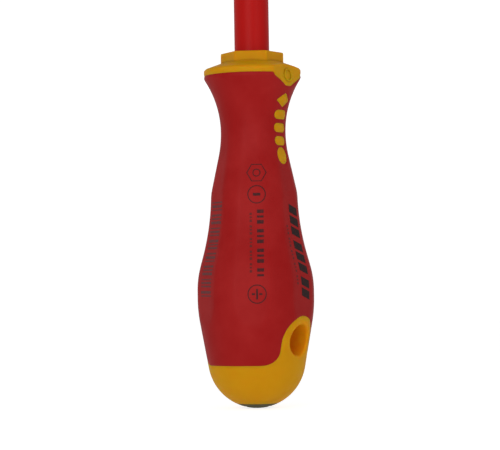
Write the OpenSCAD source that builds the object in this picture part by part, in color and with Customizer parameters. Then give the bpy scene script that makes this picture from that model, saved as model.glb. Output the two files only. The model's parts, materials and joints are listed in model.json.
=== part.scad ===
// Insulated screwdriver: a fixed cross-tip blade in a red insulation sleeve,
// carried by a handle moulded in layers round the blade.
// +Z points to the tip. The origin is the lowest point of the rounded butt,
// on the axis. The hanging hole runs along Y. Units are millimetres.

/* [Blade] */
// Length of the blade from the handle's end face to the tip
blade_reach = 150; // [100:5:200]
// Diameter of the steel blade
blade_d = 8; // [7:0.5:8.5]
// Length of bare steel left at the tip
bare_tip = 15; // [12:1:18]
// Wall of the insulation sleeve round the blade
sleeve_wall = 1.76; // [1.2:0.02:1.8]

/* [Handle] */
// Length of the handle, from the butt to the collar's end face
handle_l = 117.5; // [116:0.5:120]
// Radius of the handle at its waist
waist_r = 10.75; // [10:0.05:11.5]
// Radius of the round flange under the collar
flange_r = 16.05; // [15.6:0.05:16.2]
// Half the angle that each of the six flats takes, in degrees
flat_half = 17.7; // [12:0.1:20]
// Thickness of the soft skin at the ridges
skin_t = 2; // [1.6:0.1:2.2]

/* [Collar] */
// Width of the hexagonal collar across its flats
hex_af = 18.2; // [16.5:0.1:18.5]
// Height of the hexagonal collar at its corners
hex_h = 3.5; // [2.5:0.1:4]

/* [Hanging hole] */
// Radius of the hole's lower round
hole_low_r = 5; // [4.8:0.1:5.1]
// Radius of the hole's upper round
hole_top_r = 4.6; // [4.6:0.05:4.75]
// Radius of the hard eyelet's arch round the hole
eyelet_r = 8.4; // [7.8:0.05:8.6]

/* [Butt plug] */
// Radius of the plug's face
plug_r = 6.8; // [5.5:0.1:7]

/* [Hidden] */
$fn = 96;
far = 60;
eps = 0.01;

steel = "#9a9ea3";
red = "#a3191b";
amber = "#d6921c";
core_grey = "#56595e";
plug_grey = "#3a3a3c";

blade_r = blade_d / 2;
sleeve_r = blade_r + sleeve_wall;
tip_z = handle_l + blade_reach;

// Side outline of the handle's ridges, as a run of tangent bends that starts at
// the waist and goes down to the butt. Each step is [bend radius, slope at its
// end], where the slope is degrees of outward lean. A bend radius of 0 is a
// straight stretch, and its second value is how far it drops.
waist_z = handle_l - 26.3;
flare_bend = 32.3;
ridge_steps = [
    [37.5, 12.3],
    [0, 10.9],
    [16.5, 2],
    [83, 15.4],
    [0, 3.1],
    [32, 0],
    [0, 2.4],
    [45, -10.1],
];
bend_step = 3;

function sag(bend, d) = bend - sqrt(bend * bend - d * d);

// Points [r, z] of one bend from slope a0 to slope a1, without its first point.
function bend_points(p, bend, a0, a1) =
    let (n = ceil(abs(a1 - a0) / bend_step), side = sign(a1 - a0))
    [for (i = [1 : n])
        let (a = a0 + (a1 - a0) * i / n)
        [p[0] + side * bend * (cos(a0) - cos(a)), p[1] - side * bend * (sin(a) - sin(a0))]];

function ridge_from(p, slope, steps, i = 0) =
    i == len(steps) ? [] :
    let (s = steps[i])
    s[0] == 0
        ? let (q = [p[0] + s[1] * tan(slope), p[1] - s[1]])
          concat([q], ridge_from(q, slope, steps, i + 1))
        : let (bend = bend_points(p, s[0], slope, s[1]))
          concat(bend, ridge_from(bend[len(bend) - 1], s[1], steps, i + 1));

// Flare from the flange's lower edge down to the waist.
rim_low_z = handle_l - 8.6;
flare_n = 9;
flare_points = [for (i = [0 : flare_n])
    let (z = rim_low_z + (waist_z - rim_low_z) * i / flare_n)
    [i == 0 ? flange_r : waist_r + sag(flare_bend, z - waist_z), z]];
side_points = concat(flare_points, ridge_from([waist_r, waist_z], 0, ridge_steps));

// The butt is a sphere, tangent to the last straight cone and touching z = 0.
belly_end = side_points[len(side_points) - 1];
butt_slope = -ridge_steps[len(ridge_steps) - 1][1];
butt_r = (belly_end[0] - belly_end[1] * tan(butt_slope))
    / (cos(butt_slope) - tan(butt_slope) + sin(butt_slope) * tan(butt_slope));
butt_top = [butt_r * cos(butt_slope), butt_r * (1 - sin(butt_slope))];
belly_r = max([for (p = side_points) p[0]]);

// Flats: six straight facets that fade out at the waist and below the belly.
flat_top_z = waist_z + 1;
flat_full_z = waist_z - 26;
flat_low_z = butt_top[1] + 8;
function flat_angle(z) = flat_half * pow(min(1, (flat_top_z + 2 - z) / (flat_top_z + 2 - flat_full_z)), 0.25);
belly_z = min([for (p = side_points) if (p[0] > belly_r - eps) p[1]]);
flat_stations = [for (i = [1 : len(side_points) - 1]) (side_points[i - 1] + side_points[i]) / 2];
flat_points = [for (p = flat_stations) if (p[1] < flat_top_z && p[1] > belly_z)
    [p[0] * cos(flat_angle(p[1])), p[1]]];
flat_deep = belly_r * cos(flat_half);

// Flange and collar above the flare. The shoulder between them is a low cone
// that ends in a chamfered edge, given as [radius, z].
rim_top_z = handle_l - 5.9;
shoulder_edge = [15.5, handle_l - 5.3];
hex_root_in = 1;
hex_root_up = 0.6;
hex_low_z = handle_l - hex_h;
hex_corner_r = hex_af / 2 / cos(30);
skin_top_z = handle_l - 7.6;

// Shield-shaped facets on the flange, one above each mouth of the hanging hole.
shield_r = 13.87;
shield_z = handle_l - 7.65;
shield_tilt = 6.5;
shield_tip_z = handle_l - 11.4;
shield_half = 7.7;
ring_r = 2.25;
ring_w = 0.7;
ring_h = 0.25;

// Boundary of the soft skin at the butt end.
skin_low_z = 14.45;
eyelet_z = 21.9;
eyelet_flare = 4.5;
arc_n = 24;

// Hanging hole, egg-shaped.
hole_low_z = 22.4;
hole_top_z = 22.95;

// Hard core moulded round the rear of the blade.
core_low_z = 33;
core_top_z = handle_l - 14;
core_neck_r = 6.9;
core_belly_r = 12;
core_chamfer = [3, 4];
core_belly_l = 18;
core_shoulder_l = 40;
core_rib_w = 2.4;
core_rib_l = 11;
core_rib_out = 1.6;
core_ring_z = [81, 93];
core_ring_h = 2.5;
core_ring_out = 0.8;

// Rear of the blade and of its sleeve, inside the handle.
blade_low_z = 37;
wing_l = 8;
wing_w = 13;
wing_t = 2.6;
wing_z = [44, 56];
sleeve_low_z = 86;
sleeve_root_r = sleeve_r + 0.2;
sleeve_groove_w = 1.8;
sleeve_groove_d = 0.6;
sleeve_groove_z = [89, 94, 99];

// Cross tip of the blade.
tip_taper_l = 9;
tip_end_r = 1.9;
tip_blunt_l = 0.7;
tip_root_r = 1.35;
tip_root_lean = 12;
tip_rib_t = 0.5;
tip_rib_out = 0.4;
tip_rib_l = 6;

// Butt plug.
plug_t = 3;
plug_stem_r = 2.8;
plug_barb_r = 3.4;
plug_barb_h = 1.5;
plug_barb_z = 7.5;
plug_top_z = 11;
mark_ring_r = 4.4;
mark_line = 0.7;
mark_deep = 0.35;

// Generic inlay marks down the neck: a lozenge, three bars and an oval.
lozenge_z = handle_l - 16.3;
lozenge_w = 7.4;
lozenge_h = 4.6;
bar_z = [for (drop = [21, 25.3, 29.6]) handle_l - drop];
bar_w = [6.6, 6.2, 5.8];
bar_h = 3;
oval_z = handle_l - 34.5;
oval_w = 5.2;
oval_h = 5.6;

// Extrudes a shape drawn in the XZ plane along Y, through the whole handle.
module across() {
    rotate([90, 0, 0])
        translate([0, 0, -far])
            linear_extrude(2 * far)
                children();
}

// Repeats its child on the -Y side and, turned half round, on the +Y side.
module both_sides() {
    for (a = [0, 180])
        rotate([0, 0, a])
            children();
}

// The child drawn in the XZ plane, extruded to the -Y side and to the +Y side.
module to_both_sides() {
    both_sides()
        rotate([90, 0, 0])
            linear_extrude(far)
                children();
}

// Bar with round ends, w wide and h high.
module pill(w, h) {
    r = min(w, h) / 2;
    reach = [w / 2 - r, h / 2 - r];
    turn = w > h ? 0 : 90;
    polygon([for (end = [0, 180], a = [-90 : 15 : 90])
        let (c = end + turn, t = c + a)
        [cos(c) * reach[0] + r * cos(t), sin(c) * reach[1] + r * sin(t)]]);
}

module ring_shape(r_out, r_in) {
    difference() {
        circle(r_out);
        circle(r_in);
    }
}

// Handle shape without its facets: butt, flank, flange, shoulder and hexagon.
module handle_revolve() {
    intersection() {
        translate([0, 0, butt_r])
            sphere(butt_r);
        cylinder(h = butt_top[1], r = far);
    }
    rotate_extrude()
        polygon(concat(
            [[0, butt_top[1]], [0, hex_low_z + hex_root_up]],
            [[hex_af / 2 - hex_root_in, hex_low_z + hex_root_up], [hex_corner_r, hex_low_z]],
            [shoulder_edge, [flange_r, rim_top_z]],
            side_points,
            [butt_top]
        ));
    translate([0, 0, hex_low_z - hex_root_in])
        cylinder(h = hex_h + hex_root_in, r = hex_corner_r, $fn = 6);
}

// Prism that takes one flat off the flank, facing -Y.
module flat_cutter() {
    top = flat_points[0];
    rotate([90, 0, 90])
        translate([0, 0, -far / 2])
            linear_extrude(far)
                polygon(concat(
                    [[-far, flat_top_z + 4], [-top[0] - 1, flat_top_z + 4]],
                    [for (p = flat_points) [-p[0], p[1]]],
                    [[-flat_deep, flat_low_z], [-far, flat_low_z]]
                ));
}

module shield_cutter() {
    translate([0, -shield_r, shield_z])
        rotate([-shield_tilt, 0, 0])
            translate([-far / 2, -far, -far / 2])
                cube([far, far, far]);
}

module handle_outer() {
    difference() {
        handle_revolve();
        for (i = [0 : 5])
            rotate([0, 0, 60 * i])
                flat_cutter();
        intersection() {
            both_sides()
                shield_cutter();
            translate([0, 0, shield_tip_z - 2])
                cylinder(h = hex_low_z - shield_tip_z + 2 + eps, r = far);
        }
    }
}

module shield_window() {
    polygon([
        [-shield_half - 1, skin_top_z + 1],
        [-shield_half, rim_low_z],
        [-1.4, shield_tip_z],
        [1.4, shield_tip_z],
        [shield_half, rim_low_z],
        [shield_half + 1, skin_top_z + 1]
    ]);
}

// Points of an arc round [x, z], from angle a0 to angle a1.
function arc_points(x, z, r, a0, a1) =
    [for (i = [0 : arc_n])
        let (a = a0 + (a1 - a0) * i / arc_n)
        [x + r * cos(a), z + r * sin(a)]];

// Arch of the hard eyelet, with its two feet flaring out to the skin's lower edge.
module eyelet_window() {
    foot_x = eyelet_r + eyelet_flare;
    foot_z = skin_low_z + eyelet_flare;
    polygon(concat(
        [[foot_x, 0]],
        arc_points(foot_x, foot_z, eyelet_flare, 270, 180),
        arc_points(0, eyelet_z, eyelet_r, 0, 180),
        arc_points(-foot_x, foot_z, eyelet_flare, 0, -90),
        [[-foot_x, 0]]
    ));
}

module neck_marks() {
    translate([0, lozenge_z])
        polygon([[-lozenge_w / 2, 0], [0, -lozenge_h / 2], [lozenge_w / 2, 0], [0, lozenge_h / 2]]);
    for (i = [0 : len(bar_z) - 1])
        translate([0, bar_z[i]])
            pill(bar_w[i], bar_h);
    translate([0, oval_z])
        pill(oval_w, oval_h);
}

// Space that the soft skin takes, reaching past the handle's outer surface.
module skin_zone() {
    inner = concat(
        [[flange_r - skin_t, skin_top_z]],
        [for (p = side_points) if (p[1] < rim_low_z - eps) [p[0] - skin_t, p[1]]],
        [[butt_top[0] - skin_t, butt_top[1]]]
    );
    difference() {
        intersection() {
            rotate_extrude()
                polygon(concat([[far / 2, skin_top_z]], inner, [[far / 2, butt_top[1]]]));
            translate([0, 0, skin_low_z])
                cylinder(h = far * 2, r = far);
        }
        to_both_sides() {
            shield_window();
            eyelet_window();
            neck_marks();
        }
    }
}

// Egg-shaped outline of the hanging hole: two rounds and their common tangents.
module hole_shape() {
    lean = asin((hole_low_r - hole_top_r) / (hole_top_z - hole_low_z));
    polygon(concat(
        arc_points(0, hole_low_z, hole_low_r, 180 - lean, 360 + lean),
        arc_points(0, hole_top_z, hole_top_r, lean, 180 - lean)
    ));
}

// Raised ring in the middle of each shield facet.
module shield_rings() {
    both_sides()
        translate([0, -shield_r, shield_z])
            rotate([90 - shield_tilt, 0, 0])
                translate([0, 0, -1])
                    linear_extrude(1 + ring_h)
                        ring_shape(ring_r, ring_r - ring_w);
}

module blade_solid() {
    translate([0, 0, blade_low_z])
        cylinder(h = tip_z - tip_taper_l - 0.5 - blade_low_z, r = blade_r);
    for (i = [0, 1])
        rotate([0, 0, 90 * i])
            translate([-wing_w / 2, -wing_t / 2, wing_z[i]])
                cube([wing_w, wing_t, wing_l]);
}

module sleeve_solid() {
    difference() {
        union() {
            translate([0, 0, sleeve_low_z])
                cylinder(h = tip_z - bare_tip - sleeve_low_z, r = sleeve_r);
            translate([0, 0, sleeve_low_z])
                cylinder(h = handle_l - sleeve_low_z, r = sleeve_root_r);
        }
        for (z = sleeve_groove_z)
            translate([0, 0, z])
                rotate_extrude()
                    translate([sleeve_r - sleeve_groove_d, 0])
                        square([1, sleeve_groove_w]);
    }
}

module core_solid() {
    rotate_extrude()
        polygon([
            [0, core_low_z],
            [core_belly_r - core_chamfer[0], core_low_z],
            [core_belly_r, core_low_z + core_chamfer[1]],
            [core_belly_r, core_low_z + core_belly_l],
            [core_neck_r, core_low_z + core_shoulder_l],
            [core_neck_r, core_top_z],
            [0, core_top_z]
        ]);
    for (a = [30 : 60 : 330])
        rotate([0, 0, a])
            translate([0, -core_rib_w / 2, core_low_z + core_chamfer[1] + 2])
                cube([core_belly_r + core_rib_out, core_rib_w, core_rib_l]);
    for (z = core_ring_z)
        translate([0, 0, z])
            cylinder(h = core_ring_h, r = core_neck_r + core_ring_out);
}

module plug_solid() {
    intersection() {
        translate([0, 0, butt_r])
            sphere(butt_r);
        cylinder(h = plug_t, r = plug_r);
    }
    translate([0, 0, plug_t - 1])
        cylinder(h = plug_top_z - plug_t + 1, r = plug_stem_r);
    translate([0, 0, plug_barb_z])
        cylinder(h = plug_barb_h, r = plug_barb_r);
}

module plug_mark() {
    linear_extrude(2 * mark_deep) {
        ring_shape(mark_ring_r, mark_ring_r - mark_line);
        for (a = [0, 90])
            rotate(a)
                square([2 * (mark_ring_r - 1.5 * mark_line), mark_line], center = true);
    }
}

// Wedge that opens one flute between two wings of the cross tip.
module tip_flute() {
    translate([tip_root_r / sqrt(2), tip_root_r / sqrt(2), tip_z])
        rotate([0, 0, 45])
            rotate([0, -tip_root_lean, 0])
                rotate([0, 0, -45])
                    translate([0, 0, -far])
                        cube([far, far, 2 * far]);
}

module tip_cone() {
    taper_z = tip_z - tip_taper_l;
    blunt_z = tip_z - tip_blunt_l;
    rotate_extrude()
        polygon([
            [0, taper_z - 1],
            [blade_r, taper_z - 1],
            [blade_r, taper_z],
            [tip_end_r, blunt_z],
            [tip_end_r - tip_blunt_l, tip_z],
            [0, tip_z]
        ]);
}

// The four small ribs between the wings, one along the bottom of each flute.
module tip_ribs() {
    for (a = [45 : 90 : 315])
        rotate([0, 0, a])
            translate([tip_root_r + tip_rib_out, 0, tip_z])
                rotate([0, -tip_root_lean, 0])
                    translate([-tip_root_r, -tip_rib_t / 2, -tip_rib_l])
                        cube([tip_root_r, tip_rib_t, tip_rib_l + 1]);
}

module blade() {
    color(steel)
        difference() {
            union() {
                difference() {
                    union() {
                        blade_solid();
                        tip_cone();
                    }
                    for (a = [0 : 90 : 270])
                        rotate([0, 0, a])
                            tip_flute();
                }
                tip_ribs();
            }
            translate([0, 0, tip_z])
                cylinder(h = 5, r = far);
        }
}

module blade_sleeve() {
    color(red)
        difference() {
            sleeve_solid();
            blade_solid();
        }
}

module handle_core() {
    color(core_grey)
        difference() {
            core_solid();
            sleeve_solid();
            blade_solid();
        }
}

module hard_body() {
    color(amber)
        difference() {
            union() {
                difference() {
                    handle_outer();
                    skin_zone();
                }
                shield_rings();
            }
            across()
                hole_shape();
            core_solid();
            sleeve_solid();
            plug_solid();
        }
}

module soft_grip() {
    color(red)
        intersection() {
            handle_outer();
            skin_zone();
        }
}

module butt_plug() {
    color(plug_grey)
        difference() {
            plug_solid();
            plug_mark();
        }
}

blade();
blade_sleeve();
handle_core();
hard_body();
soft_grip();
butt_plug();
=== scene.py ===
"""Insulated screwdriver: its looks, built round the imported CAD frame.

Shapes are worked out in millimetres, in the same axes as the CAD: +Z to the tip, the
origin at the butt. An angle theta is 0 at -Y and 90 degrees at +X.
"""

import json
import math

import bmesh
import bpy
import numpy as np
from mathutils import Matrix, Vector, kdtree
from mathutils.geometry import delaunay_2d_cdt


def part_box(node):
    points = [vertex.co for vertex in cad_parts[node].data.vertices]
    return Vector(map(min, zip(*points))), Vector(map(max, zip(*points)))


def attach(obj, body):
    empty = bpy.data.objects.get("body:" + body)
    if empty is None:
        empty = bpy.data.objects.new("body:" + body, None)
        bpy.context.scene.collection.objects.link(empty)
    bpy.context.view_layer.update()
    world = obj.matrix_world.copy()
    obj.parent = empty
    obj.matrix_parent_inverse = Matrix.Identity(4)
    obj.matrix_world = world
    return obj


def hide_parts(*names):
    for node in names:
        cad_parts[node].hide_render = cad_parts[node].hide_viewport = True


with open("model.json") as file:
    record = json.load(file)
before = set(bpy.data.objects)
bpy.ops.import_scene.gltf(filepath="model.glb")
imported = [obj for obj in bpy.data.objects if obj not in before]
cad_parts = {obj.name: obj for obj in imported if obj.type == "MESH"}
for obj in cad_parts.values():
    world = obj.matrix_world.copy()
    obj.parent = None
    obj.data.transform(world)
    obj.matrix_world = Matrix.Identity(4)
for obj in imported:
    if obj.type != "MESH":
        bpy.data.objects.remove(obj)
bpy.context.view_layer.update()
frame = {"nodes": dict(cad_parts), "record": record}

MM = 0.001
PI = math.pi
TURN = 2 * PI


def box_mm(node):
    low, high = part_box(node)
    return [c / MM for c in low], [c / MM for c in high]


HANDLE_L = box_mm("hard_body")[1][2]
SLEEVE_LOW, SLEEVE_HIGH = box_mm("blade_sleeve")
SHANK = next(m for m in frame["record"]["mounts"] if m["name"] == "insulated_shank")
SLEEVE_R, SLEEVE_ROOT_R = SHANK["dims"]["r_mm"], SLEEVE_HIGH[0]
PLUG_HIGH = box_mm("butt_plug")[1]
BLADE_R = 4.0

# ---------------------------------------------------------------- handle outline

WAIST_R, WAIST_Z = 10.75, HANDLE_L - 26.3
FLARE_BEND = 32.3
FLANGE_R = 16.05
RIM_LOW_Z, RIM_TOP_Z = HANDLE_L - 8.6, HANDLE_L - 5.9
SHOULDER_EDGE = (15.5, HANDLE_L - 5.3)
HEX_AF, HEX_H = 18.2, 3.5
HEX_CORNER_R = HEX_AF / 2 / math.cos(PI / 6)
HEX_ROOT = (7.0, HANDLE_L - HEX_H + 0.85)
# Rounding of the head's outline at the shoulder's edge and the flange's two corners, by index.
HEAD_ROUNDS = {2: 0.6, 3: 0.6, 4: 0.9}
# From the waist down: (bend radius, slope in degrees at its end) or (0, straight drop).
RIDGE_STEPS = ((37.5, 12.3), (0, 10.9), (16.5, 2), (83, 15.4), (0, 3.1), (32, 0), (0, 2.4),
               (45, -10.1))
BUTT_TIP_R = 0.3
# A rounded corner takes at most this share of each side, in steps of this angle.
CORNER_SHARE, ARC_STEP = 0.48, 0.2


def flare_outline():
    z = np.linspace(RIM_LOW_Z, WAIST_Z, 60)
    r = WAIST_R + FLARE_BEND - np.sqrt(FLARE_BEND ** 2 - (z - WAIST_Z) ** 2)
    r[0] = FLANGE_R
    return list(zip(r, z))


def ridge_outline():
    """Points of the tangent bends from the waist down to where the butt's sphere starts."""
    points, slope = [(WAIST_R, WAIST_Z)], 0.0
    for bend, value in RIDGE_STEPS:
        r, z = points[-1]
        if bend == 0:
            points.append((r + value * math.tan(slope), z - value))
            continue
        end = math.radians(value)
        side = math.copysign(1, end - slope)
        for a in np.linspace(slope, end, 24)[1:]:
            points.append((r + side * bend * (math.cos(slope) - math.cos(a)),
                           z - side * bend * (math.sin(a) - math.sin(slope))))
        slope = end
    return points


def butt_outline(last, slope):
    """Radius and points of the sphere that carries on from the last bend to z = 0."""
    r, z = last
    radius = (r - z * math.tan(slope)) / (
        math.cos(slope) - math.tan(slope) + math.sin(slope) * math.tan(slope))
    low = math.asin(BUTT_TIP_R / radius)
    angles = np.linspace(PI / 2 - slope, low, 90)
    return radius, [(radius * math.sin(a), radius * (1 - math.cos(a))) for a in angles]


def rounded(points, radii):
    """A polyline whose corner i is replaced by an arc of radius radii[i], in millimetres."""
    out = []
    for i, p in enumerate(points):
        rad = radii.get(i, 0)
        if rad == 0:
            out.append(tuple(p))
            continue
        p = np.array(p, float)
        to_a = np.array(points[i - 1], float) - p
        to_b = np.array(points[(i + 1) % len(points)], float) - p
        la, lb = np.linalg.norm(to_a), np.linalg.norm(to_b)
        to_a, to_b = to_a / la, to_b / lb
        half = math.acos(float(np.clip(np.dot(to_a, to_b), -1, 1))) / 2
        reach = min(rad / math.tan(half), CORNER_SHARE * la, CORNER_SHARE * lb)
        rad = reach * math.tan(half)
        mid = (to_a + to_b) / np.linalg.norm(to_a + to_b)
        centre = p + mid * rad / math.sin(half)
        start, end = p + to_a * reach - centre, p + to_b * reach - centre
        a0 = math.atan2(start[1], start[0])
        turn = (math.atan2(end[1], end[0]) - a0 + PI) % TURN - PI
        n = max(2, int(math.ceil(abs(turn) / ARC_STEP)))
        for k in range(n + 1):
            a = a0 + turn * k / n
            out.append((centre[0] + rad * math.cos(a), centre[1] + rad * math.sin(a)))
    return out


def handle_outline():
    """The butt's radius, and z and r arrays of the ridges from the butt to the hexagon."""
    ridge = ridge_outline()
    radius, butt = butt_outline(ridge[-1], math.radians(-RIDGE_STEPS[-1][1]))
    top = [HEX_ROOT, (HEX_CORNER_R, HANDLE_L - HEX_H), SHOULDER_EDGE, (FLANGE_R, RIM_TOP_Z)]
    flare = flare_outline()
    head = rounded(top + flare[:2], HEAD_ROUNDS)
    points = head + flare[2:] + ridge[1:] + butt[1:]
    points = np.array(points[::-1])
    keep = np.concatenate([[True], np.diff(points[:, 1]) > 1e-6])
    return radius, points[keep, 1], points[keep, 0]


BUTT_R, OUTLINE_Z, OUTLINE_R = handle_outline()


def ridge_r(z):
    return np.interp(z, OUTLINE_Z, OUTLINE_R)


# ---------------------------------------------------------------- facets

FLAT_HALF = math.radians(17.7)
FLAT_TOP_Z, FLAT_FULL_Z, FLAT_LOW_Z = WAIST_Z + 3, WAIST_Z - 26, 20.0
LOWER_HALF = OUTLINE_Z < HANDLE_L / 2
BELLY_R = OUTLINE_R[LOWER_HALF].max()
BELLY_Z = OUTLINE_Z[LOWER_HALF][OUTLINE_R[LOWER_HALF].argmax()]
SHIELD_R, SHIELD_Z, SHIELD_TILT = 13.87, HANDLE_L - 7.65, math.radians(6.5)
SHIELD_TIP_Z, SHIELD_HALF = HANDLE_L - 11.7, 7.7
# A shield's plane only cuts this far below its tip and this angle to each side.
SHIELD_BELOW, SHIELD_REACH = 4.0, 1.2
CREASE_SOFT = 0.3
HEX_FILLET, HEX_ROUND = 0.25, 0.75
HEX_BLEND_Z = HANDLE_L - HEX_H - 0.6


def smooth_min(a, b, soft):
    """The lower of a and b, with the corner between them rounded over a height soft."""
    h = np.maximum(soft - np.abs(a - b), 0) / soft
    return np.minimum(a, b) - h * h * soft / 4


def wrap(a, period=TURN):
    """The angle, moved by whole periods to lie round zero."""
    return (a + period / 2) % period - period / 2


def flat_distance(z):
    """Distance of the six flats from the axis at height z."""
    fade = np.clip((FLAT_TOP_Z - z) / (FLAT_TOP_Z - FLAT_FULL_Z), 0, 1)
    deep = np.cos(FLAT_HALF * fade ** 0.25)
    return np.where(z > BELLY_Z, ridge_r(z) * deep, BELLY_R * math.cos(FLAT_HALF))


def hexagon_r(theta):
    """Radius of the hexagon's sides, with rounded corners."""
    delta = np.abs(wrap(theta, PI / 3))
    centre = (HEX_AF / 2 - HEX_ROUND) / math.cos(PI / 6)
    across = centre * np.sin(PI / 6 - delta)
    corner = centre * np.cos(PI / 6 - delta) + np.sqrt(np.maximum(HEX_ROUND ** 2 - across ** 2, 0))
    on_side = delta < math.atan((HEX_AF / 2 - HEX_ROUND) * math.tan(PI / 6) / (HEX_AF / 2))
    return np.where(on_side, HEX_AF / 2 / np.cos(delta), corner)


def surface_r(theta, z):
    """Radius of the handle's outer surface."""
    theta, z = np.broadcast_arrays(np.asarray(theta, float), np.asarray(z, float))
    r = ridge_r(z)
    delta = wrap(theta, PI / 3)
    flat = flat_distance(z) / np.cos(delta)
    on_flank = (z > FLAT_LOW_Z) & (z < FLAT_TOP_Z)
    r = np.where(on_flank, smooth_min(r, flat, CREASE_SOFT), r)
    delta = wrap(theta, PI)
    plane = SHIELD_R + (SHIELD_Z - z) * math.tan(SHIELD_TILT)
    shield = plane / np.maximum(np.cos(delta), 0.2)
    on_flange = (z > SHIELD_TIP_Z - SHIELD_BELOW) & (np.abs(delta) < SHIELD_REACH)
    r = np.where(on_flange, smooth_min(r, shield, CREASE_SOFT), r)
    return np.where(z > HEX_BLEND_Z, -smooth_min(-r, -hexagon_r(theta), HEX_FILLET), r)


def place(theta, z, r=None):
    """Points on the outer surface, or at radius r, as an array of x, y, z rows."""
    if r is None:
        r = surface_r(theta, z)
    theta, z, r = np.broadcast_arrays(theta, z, r)
    return np.stack([r * np.sin(theta), -r * np.cos(theta), z], axis=-1)


# ---------------------------------------------------------------- outlines drawn on the handle

SKIN_T = 2.0
SKIN_GAP = 0.03
SKIN_TOP_Z, SKIN_LOW_Z = HANDLE_L - 7.6, 14.45
EYELET_Z, EYELET_R, EYELET_FLARE = 21.9, 8.4, 4.5
HOLE_LOW, HOLE_TOP = (22.4, 5.0), (22.95, 4.6)
HOLE_FILLET = 1.2
HOLE_N = 72
# Neck inlays: height above the butt, width and height of each.
LOZENGE = (HANDLE_L - 16.3, 7.4, 4.6)
LOZENGE_ROUND = 0.45
BARS = ((HANDLE_L - 21.0, 6.6, 3.0), (HANDLE_L - 25.3, 6.2, 3.0), (HANDLE_L - 29.6, 5.8, 3.0))
OVAL = (HANDLE_L - 34.5, 5.2, 5.6)
# The shields, inlays and hole's mouths face these angles.
SIDES = (0.0, PI)
# The skin's edge under a shield: half its blunt point, its upper slope and its foot.
SHIELD_BLUNT, SHIELD_SLOPE, SHIELD_FOOT = 1.4, 1.8, 1.5
SHIELD_ROUNDS = {1: 0.6, 2: 0.8, 3: 1.2, 4: 1.2, 5: 0.8, 6: 0.6}


def arc(x, z, r, a0, a1, n):
    return [(x + r * math.cos(a), z + r * math.sin(a)) for a in np.linspace(a0, a1, n)]


def hole_outline(grow=0.0):
    """Egg-shaped mouth of the hanging hole with HOLE_N points, and its outward normals."""
    (z1, r1), (z2, r2) = HOLE_LOW, HOLE_TOP
    lean = math.asin((r1 - r2) / (z2 - z1))
    angles = np.arange(HOLE_N) * TURN / HOLE_N
    low = np.sin(angles) < math.sin(lean)
    centre_z = np.where(low, z1, z2)
    radius = np.where(low, r1, r2) + grow
    normals = np.stack([np.cos(angles), np.sin(angles)], axis=1)
    points = normals * radius[:, None]
    points[:, 1] += centre_z
    return points, normals


def pill(z, w, h):
    r = min(w, h) / 2
    if w > h:
        right = arc(w / 2 - r, z, r, -PI / 2, PI / 2, 12)
        return right + arc(r - w / 2, z, r, PI / 2, 1.5 * PI, 12)
    return arc(0, z + h / 2 - r, r, 0, PI, 12) + arc(0, z - h / 2 + r, r, PI, TURN, 12)


def lozenge(z, w, h):
    corners = [(-w / 2, z), (0, z - h / 2), (w / 2, z), (0, z + h / 2)]
    return rounded(corners, {i: LOZENGE_ROUND for i in range(4)})


def neck_marks():
    return [lozenge(*LOZENGE)] + [pill(*bar) for bar in BARS] + [pill(*OVAL)]


def shield_path():
    """Edge of the soft skin under one shield facet, from left to right."""
    corner = SHIELD_HALF + (SKIN_TOP_Z - RIM_LOW_Z) / SHIELD_SLOPE
    right = [(SHIELD_BLUNT, SHIELD_TIP_Z), (SHIELD_HALF, RIM_LOW_Z),
             (corner, SKIN_TOP_Z), (corner + SHIELD_FOOT, SKIN_TOP_Z)]
    left = [(-x, z) for x, z in right[::-1]]
    return rounded(left + right, SHIELD_ROUNDS)


def eyelet_path():
    """Edge of the soft skin over one eyelet, from left to right."""
    foot_x, foot_z = EYELET_R + EYELET_FLARE, SKIN_LOW_Z + EYELET_FLARE
    left = arc(-foot_x, foot_z, EYELET_FLARE, -PI / 2, 0, 14)
    right = arc(foot_x, foot_z, EYELET_FLARE, PI, 1.5 * PI, 14)
    return left + arc(0, EYELET_Z, EYELET_R, PI, 0, 40) + right


# ---------------------------------------------------------------- flat map of the handle

# The flank is meshed on a flat map: across is theta times MAP_R, up is the height z.
MAP_R = 16.0
SEAM = -PI / 2
MAP_LOW_Z, MAP_TOP_Z = 9.5, HANDLE_L - 6.9
COLUMNS = 240
CELL = 0.8
LIP_OFFSETS = (0.13, 0.3)
# Steps along the skin's edges and the marks' edges, and the least step that is kept.
EDGE_STEP, EDGE_LEAST = 0.5, 0.12
MARK_STEP, MARK_LEAST = 0.45, 0.1
MAP_LEFT, MAP_RIGHT = SEAM * MAP_R, (SEAM + TURN) * MAP_R
# Loose points stay this far from the map's border.
CLEAR = 0.3
CREASE_STEP, CREASE_SHIFT = 0.6, 0.35


def to_map(points, side):
    """Map positions of x, z points drawn flat in front of the side that faces theta = side."""
    points = np.asarray(points, float)
    x, z = points[:, 0], points[:, 1]
    theta = np.full(len(x), side)
    for _ in range(12):
        r = surface_r(theta, z)
        theta = side + np.arcsin(np.clip(x / r, -0.999, 0.999))
    return np.stack([theta * MAP_R, z], axis=1)


def resample(points, step, closed):
    """Points along a polyline at about the given step, keeping its corners."""
    out = []
    last = len(points) if closed else len(points) - 1
    for i in range(last):
        a, b = points[i], points[(i + 1) % len(points)]
        n = max(1, int(round(np.linalg.norm(b - a) / step)))
        out += [a + (b - a) * k / n for k in range(n)]
    if not closed:
        out.append(points[-1])
    return np.array(out)


def thin_out(points, least):
    """Drops points that follow the one before too closely."""
    out = [points[0]]
    for p in points[1:]:
        if np.linalg.norm(p - out[-1]) >= least:
            out.append(p)
    return np.array(out)


def full_turn(path_of_side, level):
    """A path right round the handle at one level, taking in the given path on both sides."""
    left, right = np.array([[MAP_LEFT, level]]), np.array([[MAP_RIGHT, level]])
    parts = [left] + [to_map(path_of_side, side) for side in SIDES] + [right]
    whole = thin_out(resample(np.concatenate(parts), EDGE_STEP, False), EDGE_LEAST)
    whole[-1] = right[0]
    return whole


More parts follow.
